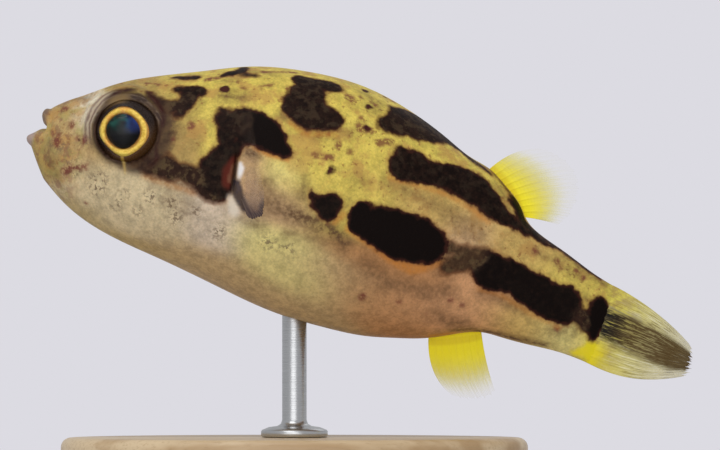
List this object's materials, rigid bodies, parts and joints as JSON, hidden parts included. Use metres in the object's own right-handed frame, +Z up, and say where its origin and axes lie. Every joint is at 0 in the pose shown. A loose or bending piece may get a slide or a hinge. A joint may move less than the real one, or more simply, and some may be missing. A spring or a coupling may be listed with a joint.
{
  "type": "freshwater pufferfish",
  "caption": "Life-size still model of a small spotted freshwater pufferfish, swimming nose-up, on an oval foot with one rod.",
  "frame": {"origin": "middle of the underside of the stand's foot", "axes": "+Z up, -X towards the fish's snout, +X towards its tail fin, -Y towards its left flank"},
  "size_m": [0.0299, 0.015, 0.0191],
  "materials": {
    "skin": "moist satin skin, yellow above and pale below, with black blotches",
    "fin_yellow": "thin rayed membrane, yellow fading to clear",
    "fin_tail": "thin rayed membrane with a grey-brown band",
    "fin_pectoral": "thin rayed membrane, nearly clear",
    "eye": "glossy, with a gold iris",
    "foot_wood": "pale maple, satin varnish",
    "rod_steel": "fine satin"
  },
  "bodies": {
    "root": {"lip_upper": "skin", "lip_lower": "skin", "head": "skin", "trunk": "skin", "tail": "skin", "dorsal_fin": "fin_yellow", "anal_fin": "fin_yellow", "caudal_fin": "fin_tail", "pectoral_fin_left": "fin_pectoral", "pectoral_fin_right": "fin_pectoral", "eye_left": "eye", "eye_right": "eye", "stand_foot": "foot_wood", "stand_rod": "rod_steel"}
  },
  "joints": []
}
